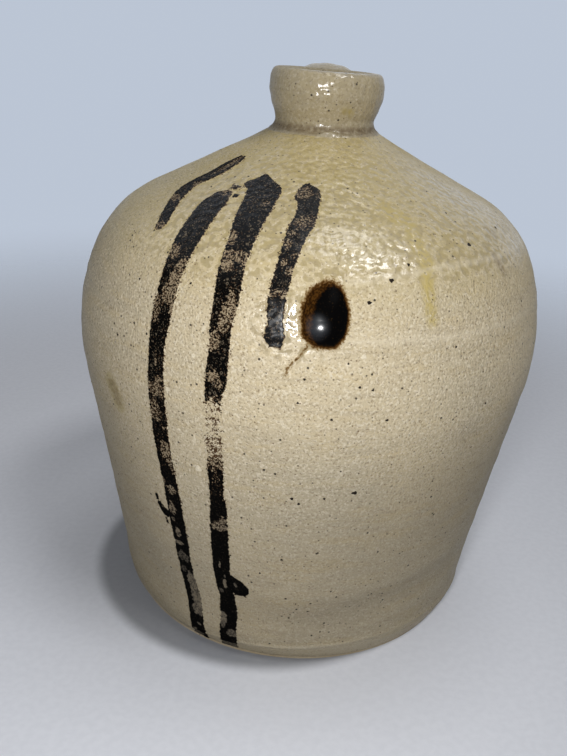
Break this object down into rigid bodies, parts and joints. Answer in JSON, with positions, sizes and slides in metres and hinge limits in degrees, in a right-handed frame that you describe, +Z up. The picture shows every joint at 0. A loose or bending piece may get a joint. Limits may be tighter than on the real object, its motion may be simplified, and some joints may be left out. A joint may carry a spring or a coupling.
{
  "type": "stoneware crock jug",
  "caption": "Squat salt-glazed stoneware jug with a domed shoulder, a short neck with a rolled lip, a strap handle and dark brushed slip stripes; it holds and pours liquids.",
  "frame": {"origin": "centre of the underside, on the table", "axes": "+Z up along the axis of the body and the mouth, -Y to the front with the slip strokes, +Y to the handle"},
  "size_m": [0.197, 0.197, 0.231],
  "materials": {
    "salt_glaze": "salt glaze, pebbled, half gloss",
    "bare_clay": "bare fired clay, matte",
    "brown_lining": "dark brown slip glaze, glossy",
    "dark_slip": "brushed dark slip under salt glaze",
    "kiln_drip": "glassy amber to black bead"
  },
  "bodies": {
    "root": {"base_slab": "bare_clay", "body_wall": "salt_glaze", "shoulder_dome": "salt_glaze", "neck_collar": "salt_glaze", "strap_handle": "salt_glaze", "inner_glaze_lining": "brown_lining", "glaze_drip": "kiln_drip", "slip_stroke_short_left": "dark_slip", "slip_stroke_long_left": "dark_slip", "slip_stroke_long_right": "dark_slip", "slip_stroke_low_right": "dark_slip", "slip_stroke_short_right": "dark_slip"}
  },
  "joints": []
}
